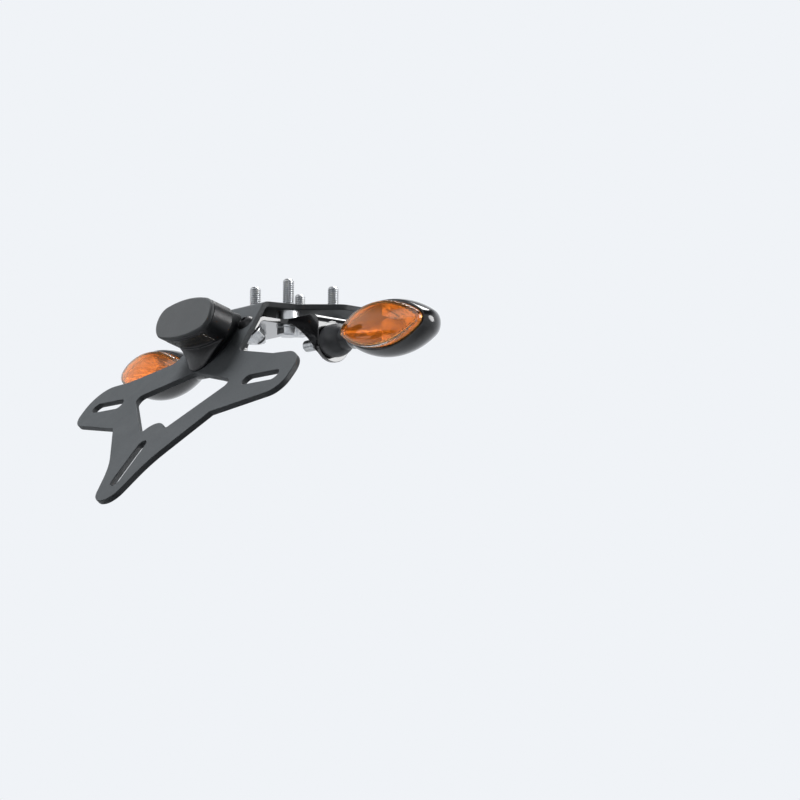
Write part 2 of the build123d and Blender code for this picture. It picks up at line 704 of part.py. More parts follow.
def indicator_reflector():
    """Bright shell behind the lens, open for the bulb holder."""
    hole = behind_foot(0) * Circle(HOLDER_RADIUS + HOLE_CLEARANCE)
    return reflector_cone(0) - reflector_cone(REFLECTOR_WALL) - extrude(hole, REFLECTOR_DEPTH)


def indicator_bulb_holder():
    """Socket through the reflector's foot, its flange against the foot's outer face."""
    barrel = extrude(behind_foot(HOLDER_SINK) * Circle(HOLDER_RADIUS), -HOLDER_LENGTH)
    return barrel + extrude(behind_foot(0) * Circle(HOLDER_FLANGE_RADIUS), -HOLDER_FLANGE)


def indicator_bulb():
    """Glass bulb with a domed end, standing out of its holder towards the lens."""
    glass = extrude(Circle(BULB_RADIUS), BULB_LENGTH)
    glass = fillet(glass.edges().group_by(Axis.Z)[-1], BULB_DOME)
    return behind_foot(HOLDER_SINK) * glass


def indicator_stalk():
    """Rubber stalk that swells to a domed foot on the tab."""
    dome_end = TAB_OUTER_X + STALK_DOME
    profile = make_face(
        [
            Line((STUD_RADIUS + THREAD_CLEARANCE, TAB_OUTER_X), (STALK_BASE_RADIUS, TAB_OUTER_X)),
            Line((STALK_BASE_RADIUS, TAB_OUTER_X), (STALK_BASE_RADIUS, TAB_OUTER_X + STALK_FOOT)),
            RadiusArc(
                (STALK_BASE_RADIUS, TAB_OUTER_X + STALK_FOOT),
                (STALK_TIP_RADIUS, dome_end),
                -STALK_DOME,
            ),
            Line((STALK_TIP_RADIUS, dome_end), (STALK_TIP_RADIUS, BOSS_X)),
            Line((STALK_TIP_RADIUS, BOSS_X), (STUD_RADIUS + THREAD_CLEARANCE, BOSS_X)),
            Line(
                (STUD_RADIUS + THREAD_CLEARANCE, BOSS_X),
                (STUD_RADIUS + THREAD_CLEARANCE, TAB_OUTER_X),
            ),
        ]
    )
    return stalk_axis * (Rot(90, 0, 0) * revolve(profile, axis=Axis.Y))


def indicator_stud():
    """Hollow threaded stud through the tab, the stalk and the boss."""
    return along_stalk(STUD_INNER_X, ring(STUD_RADIUS, STUD_BORE_RADIUS, STUD_OUTER_X - STUD_INNER_X))


def indicator_washer():
    """Washer on the tab's inner face."""
    inner = TAB_OUTER_X - BAR_SHEET
    return along_stalk(inner, ring(STUD_WASHER_RADIUS, STUD_RADIUS + HOLE_CLEARANCE, -STUD_WASHER))


def indicator_nut():
    """Hexagon nut on the stud, behind its washer."""
    inner = TAB_OUTER_X - BAR_SHEET - STUD_WASHER
    nut = Rot(0, 0, 90) * hex_prism(M6_HEX, -M6_NUT)
    return along_stalk(inner, nut - extrude(Circle(STUD_RADIUS + THREAD_CLEARANCE), -M6_NUT))


def save(name, shape):
    """Writes one sub-part; a list becomes a group of separate solids."""
    export_step(Compound(children=shape) if isinstance(shape, list) else shape, f"parts/{name}.step")


os.makedirs("parts", exist_ok=True)
for build in (
    plate_hanger,
    indicator_crossbar,
    crossbar_bolts,
    crossbar_washers,
    crossbar_nuts,
    crossbar_spacers,
    tail_bolts,
    tail_washers,
    light_housing,
    light_end_cap,
    light_lens,
    light_board,
    light_leds,
    light_screws,
    wiring_cover,
    wiring_grommet,
):
    save(build.__name__, build())
for build in (
    indicator_body,
    indicator_lens,
    indicator_reflector,
    indicator_bulb,
    indicator_bulb_holder,
    indicator_stalk,
    indicator_stud,
    indicator_washer,
    indicator_nut,
):
    piece = build()
    name = build.__name__.removeprefix("indicator_")
    save(f"right_{name}", piece)
    save(f"left_{name}", mirror(piece, Plane.YZ))
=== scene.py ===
import bmesh
import bpy
from math import cos, pi, radians, sin
from mathutils import Matrix, Vector
from mathutils.bvhtree import BVHTree


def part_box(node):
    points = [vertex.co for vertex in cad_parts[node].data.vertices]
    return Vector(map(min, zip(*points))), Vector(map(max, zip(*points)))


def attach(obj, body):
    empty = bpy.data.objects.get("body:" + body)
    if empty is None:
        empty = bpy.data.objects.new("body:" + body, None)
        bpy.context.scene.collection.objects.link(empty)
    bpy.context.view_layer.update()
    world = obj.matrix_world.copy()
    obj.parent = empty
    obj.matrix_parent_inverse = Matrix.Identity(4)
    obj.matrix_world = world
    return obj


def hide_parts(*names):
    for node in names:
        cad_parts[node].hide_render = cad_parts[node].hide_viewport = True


# Tail tidy: finished edges, threads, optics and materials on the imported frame.
# Metres, in the part's own frame: +X the bike's right, +Y its front, +Z up.
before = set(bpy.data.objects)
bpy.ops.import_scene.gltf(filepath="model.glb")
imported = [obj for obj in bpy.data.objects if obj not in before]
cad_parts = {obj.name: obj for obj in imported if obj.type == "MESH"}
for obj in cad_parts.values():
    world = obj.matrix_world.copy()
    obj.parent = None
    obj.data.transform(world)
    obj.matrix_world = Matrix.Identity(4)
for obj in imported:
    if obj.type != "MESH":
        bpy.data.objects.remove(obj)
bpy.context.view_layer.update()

MM = 0.001

# Sizes of the part's source, or halves of them
PLATE_TILT = radians(38.5)
HEAD_TILT = radians(15)
TAIL_BOLT_X = 14 * MM
TAIL_BOLT_Y = 15 * MM
TAIL_BOLT_REACH = 14 * MM
STUD_RADIUS = 3 * MM
STUD_BORE_RADIUS = 1.4 * MM
REFLECTOR_WALL = 1 * MM

# Mesh clean-up and rounded edges
MERGE_DISTANCE = 0.002 * MM
FLAT_ANGLE = radians(0.4)
CURVED_FLAT_ANGLE = radians(0.02)
SHARP_ANGLE = radians(28)
CURVED_SHARP_ANGLE = radians(35)
EDGE_SEGMENTS = 2
LENS_EDGE_SEGMENTS = 3
STRAY_SHARE = 0.45
FLAT_FACE_WEIGHT = 100
SHEET_EDGE = 0.4 * MM
BAR_EDGE = 0.35 * MM
SHELL_EDGE = 0.4 * MM
CAP_EDGE = 0.3 * MM
NUT_EDGE = 0.3 * MM
BOLT_EDGE = 0.2 * MM
WASHER_EDGE = 0.15 * MM
FINE_EDGE = 0.1 * MM
LENS_EDGE = 0.5 * MM

# Screw threads; the ridge's points are shares of the depth and of the pitch
THREAD_TOP_RADIUS = 2.95 * MM
THREAD_PITCH = 1.0 * MM
THREAD_DEPTH = 0.5 * MM
THREAD_TIP = 0.9 * MM
THREAD_STEPS = 24
THREAD_RIDGE = ((0, 0.0), (0, 0.12), (1, 0.5), (1, 0.62), (0, 1.0))
THREAD_EXTRA_TURNS = 3
THREAD_TURNS_BELOW = 2
THREAD_MERGE_DISTANCE = 0.005 * MM
STUD_THREAD_END_X = 44 * MM

# Heads of the light's screws and their cross recess
HEAD_FACING = 0.99
HEAD_LEAST_CORNERS = 12
RECESS_REACH = 1.75 * MM
RECESS_HALF_WIDTH = 0.42 * MM
RECESS_DEPTH = 1.1 * MM

# Blind end of the screw holes in the light's neck
TIP_BAND = 0.1 * MM
SCREW_TRIM = 3.0 * MM
SCREW_GAP = 0.3 * MM
SCREW_HOLE_REACH = 2.3 * MM
SCREW_OUTWARD = Vector((0, cos(PLATE_TILT), -sin(PLATE_TILT)))

# Reflector: level flutes outboard, upright ones low inboard, a vane between them
LEVEL_PITCH = 3.2 * MM
UPRIGHT_PITCH = 6.0 * MM
FLUTE_HEIGHT = 0.7 * MM
FLUTE_FADE = 1.5 * MM
FLUTE_SLICES = 4
RIM_FADE_START = 0.5
FACING_LENS = -0.15
VANE_THICKNESS = 0.8 * MM
VANE_GAP = 4.4 * MM
VANE_SINK = 0.3 * MM
RIM_SETBACK = 0.4 * MM

# Emitters of the plate light
GEL_MARGIN = 0.5 * MM
GEL_SINK = 0.15 * MM
GEL_FACING = 0.9

# Camera, floor and backdrop
CAMERA_PLACE = Vector((0.8095, -0.6433, -0.1989))
CAMERA_RIGHT = Vector((0.663, 0.748, 0.0005))
CAMERA_FORWARD = Vector((-0.740, 0.656, 0.1466))
LENS_MM = 90
SENSOR_MM = 36
CLIP_START = 0.05
CLIP_END = 100
FLOOR_Z = -0.32
FLOOR_HALF = 30.0
FLOOR_CLEAR_FROM = 0.35
FLOOR_CLEAR_TO = 1.0
BACKDROP = (0.871, 0.896, 0.930, 1)
CEILING = (0.10, 0.105, 0.11, 1)
CEILING_FROM = 0.40
CEILING_TO = 0.70
FLOOR_COLOUR = (0.57, 0.585, 0.605, 1)
FLOOR_BOUNCE = (0.06, 0.06, 0.06, 1)
FLOOR_ROUGHNESS = 0.9
AMBIENT = (0.93, 0.96, 1.0, 1)
AMBIENT_STRENGTH = 0.18

# Lamps: place, size in metres, power in watts and the surfaces that they light
AIM = Vector((0, -0.05, -0.03))
LAMPS = {
    "sky_light": ((-0.9, -0.3, 2.1), 1.2, 80, "matt"),
    "rear_fill": ((-0.5, -2.0, 0.9), 1.4, 6, "all"),
    "front_fill": ((0.5, 2.0, 0.3), 1.4, 18, "matt"),
    "tab_softbox": ((1.9, 1.6, 0.45), 1.6, 58, "mirrors"),
    "shell_softbox": ((-0.4, 1.0, 1.9), 1.2, 34, "mirrors"),
    "lens_softbox": ((0.7, -2.2, 0.6), 1.6, 64, "lenses"),
}

# Range that holds most of a noise's values, turn of a Wave texture in radians over one
# unit at scale 1, and the colour sockets of a Mix node
CLOUD = (0.3, 0.7)
WAVE_TURN = 20
MIX_FIRST = 6
MIX_SECOND = 7
MIX_RESULT = 2


class Finish:
    """One material: a Principled shader with textures on Object coordinates."""

    def __init__(self, name, turn=(0, 0, 0)):
        self.material = bpy.data.materials.new(name)
        self.material.use_nodes = True
        self.tree = self.material.node_tree
        self.shader = self.tree.nodes["Principled BSDF"]
        coordinates = self.node("ShaderNodeTexCoord")
        mapping = self.node("ShaderNodeMapping")
        mapping.vector_type = "TEXTURE"
        mapping.inputs["Rotation"].default_value = turn
        self.link(coordinates.outputs["Object"], mapping.inputs["Vector"])
        self.place = mapping.outputs["Vector"]

    def node(self, kind):
        return self.tree.nodes.new(kind)

    def link(self, source, target):
        self.tree.links.new(source, target)

    def set(self, **sockets):
        """Constants on the shader; an underscore in a name stands for a space."""
        for name, value in sockets.items():
            self.shader.inputs[name.replace("_", " ")].default_value = value

    def noise(self, size, detail=3.0, roughness=0.55, distortion=0.0):
        """Cloudy value between 0 and 1 with patches of about the given size."""
        noise = self.node("ShaderNodeTexNoise")
        noise.inputs["Scale"].default_value = 1 / size
        noise.inputs["Detail"].default_value = detail
        noise.inputs["Roughness"].default_value = roughness
        noise.inputs["Distortion"].default_value = distortion
        self.link(self.place, noise.inputs["Vector"])
        return noise.outputs["Fac"]

    def cells(self, size):
        """Distance to the nearest of many scattered points, about the given size apart."""
        cells = self.node("ShaderNodeTexVoronoi")
        cells.inputs["Scale"].default_value = 1 / size
        self.link(self.place, cells.inputs["Vector"])
        return cells.outputs["Distance"]

    def bands(self, size, direction="X", distortion=0.0):
        """Regular bands across one direction."""
        bands = self.node("ShaderNodeTexWave")
        bands.bands_direction = direction
        bands.inputs["Scale"].default_value = 2 * pi / (WAVE_TURN * size)
        bands.inputs["Distortion"].default_value = distortion
        self.link(self.place, bands.inputs["Vector"])
        return bands.outputs["Fac"]

    def colours(self, value, *stops):
        """Colour by value; each stop is its place and its colour."""
        ramp = self.node("ShaderNodeValToRGB")
        elements = ramp.color_ramp.elements
        while len(elements) < len(stops):
            elements.new(0.5)
        for element, (place, colour) in zip(elements, stops):
            element.position = place
            element.color = (*colour, 1)
        self.link(value, ramp.inputs["Fac"])
        return ramp.outputs["Color"]

    def clouded(self, value, dark, pale):
        """Colour that goes from dark to pale over most of a noise's range."""
        return self.colours(value, (CLOUD[0], dark), (CLOUD[1], pale))

    def between(self, value, low, high, start=0.0, end=1.0):
        """Value stretched from start and end to low and high."""
        stretch = self.node("ShaderNodeMapRange")
        stretch.inputs["From Min"].default_value = start
        stretch.inputs["From Max"].default_value = end
        stretch.inputs["To Min"].default_value = low
        stretch.inputs["To Max"].default_value = high
        self.link(value, stretch.inputs["Value"])
        return stretch.outputs["Result"]

    def multiplied(self, first, second):
        """One colour multiplied by another."""
        mix = self.node("ShaderNodeMix")
        mix.data_type = "RGBA"
        mix.blend_type = "MULTIPLY"
        mix.inputs["Factor"].default_value = 1.0
        self.link(first, mix.inputs[MIX_FIRST])
        self.link(second, mix.inputs[MIX_SECOND])
        return mix.outputs[MIX_RESULT]

    def colour(self, source):
        self.link(source, self.shader.inputs["Base Color"])

    def rough(self, source):
        self.link(source, self.shader.inputs["Roughness"])

    def bump(self, *layers):
        """Bumps laid over each other; each layer is a height, its depth in metres and its strength."""
        normal = None
        for height, depth, strength in layers:
            bump = self.node("ShaderNodeBump")
            bump.inputs["Distance"].default_value = depth
            bump.inputs["Strength"].default_value = strength
            self.link(height, bump.inputs["Height"])
            if normal is not None:
                self.link(normal, bump.inputs["Normal"])
            normal = bump.outputs["Normal"]
        self.link(normal, self.shader.inputs["Normal"])


def plate_coat():
    """Charcoal powder coat on the folded sheet: fine grain, soft sheen, faint handling marks."""
    coat = Finish("plate_coat")
    patches = coat.noise(45 * MM, detail=4)
    grain = coat.noise(0.45 * MM, detail=2, roughness=0.6)
    base = coat.clouded(patches, (0.093, 0.101, 0.107), (0.110, 0.118, 0.125))
    speck = coat.colours(grain, (0.35, (0.78, 0.78, 0.78)), (0.65, (1.0, 1.0, 1.0)))
    coat.colour(coat.multiplied(base, speck))
    coat.rough(coat.between(coat.noise(12 * MM), 0.50, 0.64, *CLOUD))
    coat.bump((grain, 0.08 * MM, 0.35), (coat.noise(3 * MM), 0.10 * MM, 0.12))
    coat.set(IOR=1.5, Specular_IOR_Level=0.2)
    return coat.material


def bar_gloss():
    """Gloss black paint on the crossbar, with a slight orange peel and fine dust."""
    gloss = Finish("bar_gloss")
    dust = gloss.noise(0.7 * MM, detail=4)
    gloss.colour(gloss.colours(dust, (0.45, (0.010, 0.010, 0.011)), (0.8, (0.022, 0.023, 0.025))))
    gloss.rough(gloss.between(gloss.noise(9 * MM), 0.10, 0.18, *CLOUD))
    gloss.bump((gloss.noise(2.2 * MM, detail=1), 0.05 * MM, 0.2))
    gloss.set(IOR=1.5, Coat_Weight=0.6, Coat_Roughness=0.06)
    return gloss.material


def zinc_plating():
    """Bright zinc on steel fasteners, with a cold tint and a few rubbed patches."""
    zinc = Finish("zinc_plating")
    patches = zinc.noise(2.4 * MM, detail=4)
    rub = zinc.noise(0.35 * MM, detail=3)
    zinc.colour(
        zinc.colours(
            patches, (0.3, (0.42, 0.43, 0.45)), (0.55, (0.56, 0.57, 0.58)), (0.8, (0.50, 0.48, 0.43))
        )
    )
    zinc.rough(zinc.between(rub, 0.20, 0.38, *CLOUD))
    zinc.bump((rub, 0.02 * MM, 0.2))
    zinc.set(Metallic=1.0)
    return zinc.material


def black_oxide():
    """Blackened steel with a satin oil film, worn a little greyer in specks."""
    oxide = Finish("black_oxide")
    specks = oxide.noise(0.5 * MM, detail=4)
    oxide.colour(oxide.colours(specks, (0.4, (0.020, 0.020, 0.022)), (0.75, (0.048, 0.049, 0.052))))
    oxide.rough(oxide.between(oxide.noise(2 * MM), 0.30, 0.46, *CLOUD))
    oxide.bump((specks, 0.02 * MM, 0.25))
    oxide.set(IOR=1.6)
    return oxide.material


def turned_alloy():
    """Turned aluminium spacers with fine lathe lines."""
    alloy = Finish("turned_alloy")
    lines = alloy.bands(0.18 * MM, "Z", distortion=0.6)
    alloy.colour(alloy.clouded(alloy.noise(3 * MM), (0.48, 0.49, 0.50), (0.60, 0.61, 0.62)))
    alloy.rough(alloy.between(lines, 0.24, 0.40))
    alloy.bump((lines, 0.02 * MM, 0.25))
    alloy.set(Metallic=1.0)
    return alloy.material


def light_shell_grain():
    """Black moulded shell of the plate light, with a fine spark-eroded grain; its near-black tone is
    partly the plastic's own and partly painted shade for the dark underside and neck.
    """
    shell = Finish("light_shell_grain")
    grain = shell.cells(0.42 * MM)
    patches = shell.noise(20 * MM)
    shell.colour(shell.clouded(patches, (0.010, 0.0105, 0.012), (0.014, 0.015, 0.017)))
    shell.rough(shell.between(shell.noise(1.5 * MM), 0.34, 0.46, *CLOUD))
    shell.bump((grain, 0.04 * MM, 0.25))
    shell.set(IOR=1.5, Specular_IOR_Level=0.35)
    return shell.material


def cap_grain():
    """Charcoal end cap of the plate light, matter and paler than its shell; its paler tone is partly
    the cap's own and partly painted light on the face that looks back and up.
    """
    cap = Finish("cap_grain")
    grain = cap.cells(0.42 * MM)
    patches = cap.noise(20 * MM)
    cap.colour(cap.clouded(patches, (0.130, 0.137, 0.141), (0.148, 0.155, 0.160)))
    cap.rough(cap.between(cap.noise(1.5 * MM), 0.52, 0.64, *CLOUD))
    cap.bump((grain, 0.05 * MM, 0.3))
    cap.set(IOR=1.5, Specular_IOR_Level=0.2)
    return cap.material


def light_window():
    """Smoked strip over the plate light's emitters, with fine prisms."""
    window = Finish("light_window", turn=(-HEAD_TILT, 0, 0))
    window.colour(window.clouded(window.noise(6 * MM), (0.20, 0.16, 0.12), (0.26, 0.21, 0.15)))
    window.rough(window.between(window.noise(1.2 * MM), 0.10, 0.18, *CLOUD))
    window.bump((window.bands(1.1 * MM, "X"), 0.10 * MM, 0.3))
    window.set(Transmission_Weight=0.95, IOR=1.49, Specular_IOR_Level=0.3)
    return window.material


def board_mask():
    """White solder mask with copper tracks under it."""
    board = Finish("board_mask", turn=(-HEAD_TILT, 0, 0))
    tracks = board.bands(1.6 * MM, "X", distortion=2.0)
    board.colour(board.colours(tracks, (0.42, (0.60, 0.64, 0.60)), (0.58, (0.78, 0.79, 0.76))))
    board.rough(board.between(tracks, 0.30, 0.42))
    board.bump((tracks, 0.03 * MM, 0.4))
    return board.material


def led_body():
    """White moulded package of an emitter."""
    package = Finish("led_body")
    package.colour(package.clouded(package.noise(0.6 * MM), (0.76, 0.76, 0.74), (0.84, 0.84, 0.82)))
    package.rough(package.between(package.noise(0.3 * MM), 0.4, 0.55))
    return package.material


def led_phosphor():
    """Yellow gel over an emitter's die."""
    gel = Finish("led_phosphor")
    gel.colour(gel.clouded(gel.noise(0.5 * MM), (0.80, 0.62, 0.12), (0.88, 0.74, 0.22)))
    gel.rough(gel.between(gel.noise(0.4 * MM), 0.18, 0.3))
    return gel.material


def cover_grain():
    """Black nylon of the wiring cover, with a coarse satin grain."""
    nylon = Finish("cover_grain")
    grain = nylon.cells(0.8 * MM)
    nylon.colour(nylon.clouded(nylon.noise(8 * MM), (0.018, 0.018, 0.019), (0.030, 0.030, 0.031)))
    nylon.rough(nylon.between(grain, 0.38, 0.55))
    nylon.bump((grain, 0.06 * MM, 0.4))
    return nylon.material


def stalk_rubber():
    """Matt black rubber with a grey bloom."""
    rubber = Finish("stalk_rubber")
    bloom = rubber.noise(5 * MM, detail=5)
    rubber.colour(rubber.colours(bloom, (0.35, (0.016, 0.017, 0.019)), (0.75, (0.034, 0.036, 0.040))))
    rubber.rough(rubber.between(bloom, 0.42, 0.60, *CLOUD))
    rubber.bump((rubber.noise(0.4 * MM), 0.04 * MM, 0.3))
    rubber.set(Sheen_Weight=0.05, Sheen_Roughness=0.4)
    return rubber.material


def pod_gloss():
    """Polished black shell of the indicators, with faint polishing swirls."""
    shell = Finish("pod_gloss")
    swirl = shell.noise(6 * MM, detail=5, distortion=2.0)
    shell.colour(shell.colours(swirl, (0.4, (0.007, 0.007, 0.008)), (0.8, (0.013, 0.013, 0.015))))
    shell.rough(shell.between(swirl, 0.11, 0.17, *CLOUD))
    shell.bump((shell.noise(4 * MM, detail=1), 0.04 * MM, 0.10))
    shell.set(IOR=1.5, Coat_Weight=0.2, Coat_Roughness=0.04)
    return shell.material


def amber_plastic():
    """Clear amber lens plastic, a little uneven in depth of colour."""
    amber = Finish("amber_plastic")
    flow = amber.noise(14 * MM, detail=3)
    amber.colour(amber.clouded(flow, (1.0, 0.45, 0.10), (1.0, 0.50, 0.14)))
    amber.rough(amber.between(amber.noise(2.5 * MM), 0.03, 0.08, *CLOUD))
    amber.bump((amber.noise(5 * MM, detail=1), 0.05 * MM, 0.08))
    amber.set(Transmission_Weight=0.96, IOR=1.49)
    return amber.material


def bright_film():
    """Aluminium film on the reflector's outboard half, slightly uneven."""
    film = Finish("bright_film")
    film.colour(film.clouded(film.noise(8 * MM), (0.92, 0.92, 0.91), (0.97, 0.97, 0.96)))
    film.rough(film.between(film.noise(3 * MM), 0.24, 0.34, *CLOUD))
    film.bump((film.noise(4 * MM, detail=1), 0.06 * MM, 0.2))
    film.set(Metallic=0.2)
    return film.material


def shaded_satin_film():
    """Duller film on the reflector's inboard half; its darker colour is painted shade."""
    film = Finish("shaded_satin_film")
    film.colour(film.clouded(film.noise(8 * MM), (0.46, 0.45, 0.46), (0.54, 0.53, 0.54)))
    film.rough(film.between(film.noise(3 * MM), 0.36, 0.48, *CLOUD))
    film.bump((film.noise(4 * MM, detail=1), 0.06 * MM, 0.2))
    film.set(Metallic=0.4)
    return film.material


def bulb_glass():
    """Frosted glass of the bulb, a little uneven."""
    glass = Finish("bulb_glass")
    glass.colour(glass.clouded(glass.noise(3 * MM), (0.93, 0.92, 0.88), (0.98, 0.97, 0.94)))
    glass.rough(glass.between(glass.noise(2 * MM), 0.18, 0.30))
    glass.set(Transmission_Weight=0.4, IOR=1.5)
    return glass.material


def socket_plastic():
    """Satin grey plastic of the bulb holder, a little cloudy."""
    plastic = Finish("socket_plastic")
    cloud = plastic.noise(2 * MM, detail=4)
    plastic.colour(plastic.clouded(cloud, (0.51, 0.50, 0.46), (0.59, 0.58, 0.54)))
    plastic.rough(plastic.between(cloud, 0.40, 0.52, *CLOUD))
    plastic.bump((plastic.noise(0.4 * MM), 0.03 * MM, 0.2))
    return plastic.material


def edged_shape(node, flat_angle=FLAT_ANGLE):
    """Merged copy of a CAD node's mesh, its flat faces joined."""
    shape = bmesh.new()
    shape.from_mesh(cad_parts[node].data)
    bmesh.ops.remove_doubles(shape, verts=shape.verts, dist=MERGE_DISTANCE)
    bmesh.ops.dissolve_limit(
        shape,
        angle_limit=flat_angle,
        use_dissolve_boundaries=False,
        verts=shape.verts,
        edges=shape.edges,
        delimit={"MATERIAL"},
    )
    return shape


def round_edges(shape, width, angle=SHARP_ANGLE, segments=EDGE_SEGMENTS):
    """Rounds every edge whose faces meet at more than the angle, and puts stray points back."""
    surface = BVHTree.FromBMesh(shape)
    sharp = [edge for edge in shape.edges if edge.calc_face_angle(0) > angle]
    bmesh.ops.bevel(
        shape,
        geom=sharp,
        offset=width,
        offset_type="OFFSET",
        affect="EDGES",
        segments=segments,
        profile=0.5,
        material=-1,
        clamp_overlap=False,
    )
    for vert in shape.verts:
        nearest, _, _, distance = surface.find_nearest(vert.co)
        if distance > STRAY_SHARE * width:
            vert.co = nearest


def add_piece(name, shape, materials, node, curved=False):
    """Makes a piece of a bmesh, rides it on the root body and lets it stand for its CAD node."""
    mesh = bpy.data.meshes.new(name)
    for face in shape.faces:
        face.smooth = True
    shape.to_mesh(mesh)
    shape.free()
    for material in materials:
        mesh.materials.append(material)
    piece = bpy.data.objects.new(name, mesh)
    bpy.context.scene.collection.objects.link(piece)
    if not curved:
        shading = piece.modifiers.new("even_shading", "WEIGHTED_NORMAL")
        shading.weight = FLAT_FACE_WEIGHT
    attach(piece, "root")
    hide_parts(node)


def finish_node(node, material, edge_width):
    """Finished copy of a CAD node: joined faces and rounded edges."""
    shape = edged_shape(node)
    round_edges(shape, edge_width)
    add_piece(f"{node}_finished", shape, [material], node)


def finish_curved(node, material, edge_width, segments=EDGE_SEGMENTS):
    """Finished copy of a curved CAD node: its facets kept, rounded edges, smooth shading."""
    shape = edged_shape(node, CURVED_FLAT_ANGLE)
    round_edges(shape, edge_width, CURVED_SHARP_ANGLE, segments)
    add_piece(f"{node}_finished", shape, [material], node, curved=True)


def whole(shape):
    """All of a shape's points, edges and faces."""
    return shape.verts[:] + shape.edges[:] + shape.faces[:]


def parts_of(faces):
    """Faces with their edges and points, each once."""
    return list(dict.fromkeys(item for face in faces for item in (face, *face.edges, *face.verts)))


def points_of(geometry):
    """The points among what an operator returns."""
    return [item for item in geometry if isinstance(item, bmesh.types.BMVert)]


def close(shape):
    """Closes every open end of a shape."""
    bmesh.ops.holes_fill(shape, edges=[edge for edge in shape.edges if edge.is_boundary], sides=0)


def trim(shape, place, direction):
    """Cuts a shape at a plane and drops what lies on the direction's side."""
    bmesh.ops.bisect_plane(
        shape, geom=whole(shape), plane_co=place, plane_no=direction, clear_outer=True
    )


def join(shape, other, place):
    """Adds another bmesh to a shape at a place, its faces turned outwards."""
    bmesh.ops.recalc_face_normals(other, faces=other.faces)
    moved = bpy.data.meshes.new("moved")
    other.to_mesh(moved)
    other.free()
    moved.transform(place)
    shape.from_mesh(moved)
    bpy.data.meshes.remove(moved)


def screw_thread(top_radius, length, tip):
    """Threaded rod that stands on the XY plane, its free end drawn in over the tip's height."""
    rod = bmesh.new()
    root = top_radius - THREAD_DEPTH
    turns = int(length / THREAD_PITCH) + THREAD_EXTRA_TURNS
    points = [
        rod.verts.new((root + rise * THREAD_DEPTH, 0, (height - THREAD_TURNS_BELOW) * THREAD_PITCH))
        for rise, height in THREAD_RIDGE
    ]
    edges = [rod.edges.new(pair) for pair in zip(points, points[1:])]
    bmesh.ops.spin(
        rod,
        geom=points + edges,
        cent=(0, 0, 0),
        axis=(0, 0, 1),
        dvec=(0, 0, THREAD_PITCH / THREAD_STEPS),
        angle=turns * 2 * pi,
        steps=turns * THREAD_STEPS,
    )
    bmesh.ops.remove_doubles(rod, verts=rod.verts, dist=THREAD_MERGE_DISTANCE)
    trim(rod, (0, 0, 0), (0, 0, -1))
    trim(rod, (0, 0, length), (0, 0, 1))
    for vert in rod.verts:
        radius = vert.co.xy.length
        limit = root + length - vert.co.z - tip / 2
        if vert.co.z > length - tip and radius > limit:
            vert.co.xy *= limit / radius
    return rod


def tail_bolts(zinc):
    """Hexagon bolts with rounded heads and a screw thread above the top plate."""
    shape = edged_shape("tail_bolts")
    trim(shape, (0, 0, 0), (0, 0, 1))
    close(shape)
    round_edges(shape, BOLT_EDGE)
    for x in (-TAIL_BOLT_X, TAIL_BOLT_X):
        for y in (-TAIL_BOLT_Y, TAIL_BOLT_Y):
            rod = screw_thread(THREAD_TOP_RADIUS, TAIL_BOLT_REACH, THREAD_TIP)
            close(rod)
            join(shape, rod, Matrix.Translation((x, y, 0)))
    add_piece("tail_bolts_finished", shape, [zinc], "tail_bolts")


def indicator_stud(side, sign, zinc):
    """Hollow stud with a screw thread on the length that shows inside the tab."""
    node = f"{side}_stud"
    low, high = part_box(node)
    middle = (low + high) / 2
    inner_x = min(abs(low.x), abs(high.x))
    length = STUD_THREAD_END_X - inner_x
    shape = edged_shape(node)
    trim(shape, (sign * STUD_THREAD_END_X, 0, 0), (-sign, 0, 0))
    close(shape)
    rod = screw_thread(STUD_RADIUS, length, 0)
    end = [edge for edge in rod.edges if edge.is_boundary and edge.verts[0].co.z < THREAD_PITCH / 2]
    bore = bmesh.ops.create_circle(rod, segments=THREAD_STEPS, radius=STUD_BORE_RADIUS)["verts"]
    rim = list(dict.fromkeys(edge for vert in bore for edge in vert.link_edges))
    bmesh.ops.bridge_loops(rod, edges=end + rim)
    deep = bmesh.ops.extrude_edge_only(rod, edges=rim)["geom"]
    bmesh.ops.translate(rod, verts=points_of(deep), vec=(0, 0, length))
    close(rod)
    turn = Matrix.Rotation(sign * pi / 2, 4, "Y")
    join(shape, rod, Matrix.Translation((sign * inner_x, middle.y, middle.z)) @ turn)
    add_piece(f"{node}_finished", shape, [zinc], node)


def screw_tips(shape):
    """Flat ends of the light's screws, inside its neck."""
    deepest = min(vert.co.dot(SCREW_OUTWARD) for vert in shape.verts)
    return [
        face
        for face in shape.faces
        if face.calc_center_median().dot(SCREW_OUTWARD) < deepest + TIP_BAND
    ]


def off_axis(place, tip):
    """Distance of a place from the axis of the screw that ends at the tip."""
    away = place - tip
    return (away - away.dot(SCREW_OUTWARD) * SCREW_OUTWARD).length


def hole_walls(shape, tip):
    """Faces of the hole for the screw that ends at the tip."""
    return [
        face
        for face in shape.faces
        if all(off_axis(vert.co, tip) < SCREW_HOLE_REACH for vert in face.verts)
    ]


def light_housing(shell):
    """Housing whose screw holes end below the neck's skin."""
    screws = edged_shape("light_screws")
    shape = edged_shape("light_housing")
    for tip_face in screw_tips(screws):
        tip = tip_face.calc_center_bounds()
        end = tip + SCREW_TRIM * SCREW_OUTWARD
        bmesh.ops.bisect_plane(
            shape, geom=parts_of(hole_walls(shape, tip)), plane_co=end, plane_no=SCREW_OUTWARD
        )
        beyond = [
            face
            for face in hole_walls(shape, tip)
            if (face.calc_center_median() - end).dot(SCREW_OUTWARD) < 0
        ]
        bmesh.ops.delete(shape, geom=beyond, context="FACES")
        close(shape)
    screws.free()
    round_edges(shape, SHELL_EDGE)
    add_piece("light_housing_finished", shape, [shell], "light_housing")


